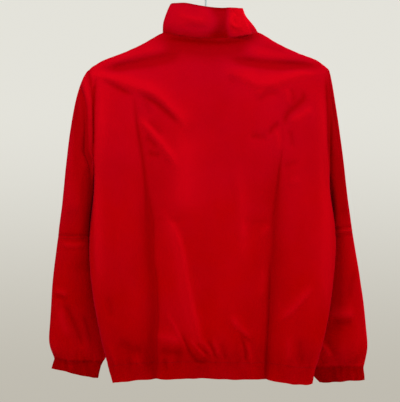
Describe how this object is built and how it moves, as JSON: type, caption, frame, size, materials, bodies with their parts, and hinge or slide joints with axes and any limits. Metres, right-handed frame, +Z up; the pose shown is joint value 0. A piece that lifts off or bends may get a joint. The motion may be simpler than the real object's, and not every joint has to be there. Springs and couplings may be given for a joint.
{
  "type": "track jacket on a hanger",
  "caption": "Zipped track jacket with a stand collar, elasticated cuffs and a hem casing, hanging closed on a plain hanger with a turned hook.",
  "frame": {"origin": "inside top of the hanger's hook, where a rail or peg bears", "axes": "+Z up along the hook's stem; the jacket faces -Y, its back faces +Y, and the wearer's left sleeve is at +X"},
  "size_m": [0.6623, 0.174, 0.849],
  "materials": {
    "cloth": "smooth woven polyester with a soft satin sheen",
    "tape": "close twill tape",
    "coil": "moulded teeth, satin",
    "zip_metal": "plated, lightly brushed",
    "hanger_plastic": "smooth satin",
    "hook_steel": "dull plated wire"
  },
  "bodies": {
    "jacket": {"back": "cloth", "front_left": "cloth", "front_right": "cloth", "sleeve_upper_left": "cloth", "sleeve_upper_right": "cloth", "sleeve_lower_left": "cloth", "sleeve_lower_right": "cloth", "cuff_left": "cloth", "cuff_right": "cloth", "hem_band": "cloth", "collar": "cloth", "zip_tape_left": "tape", "zip_tape_right": "tape", "zip_chain": "coil", "zip_box": "zip_metal", "zip_slider": "zip_metal", "hanger_arms": "hanger_plastic", "hanger_hook": "hook_steel"},
    "pull_tab": {"zip_pull": "zip_metal"}
  },
  "joints": [
    {"name": "pull_tab_swing", "type": "hinge", "parent": "jacket", "child": "pull_tab", "pos_m": [-0.01, -0.06542, -0.1462], "axis": [-1, 0, 0], "range_deg": [-3, 150]}
  ]
}
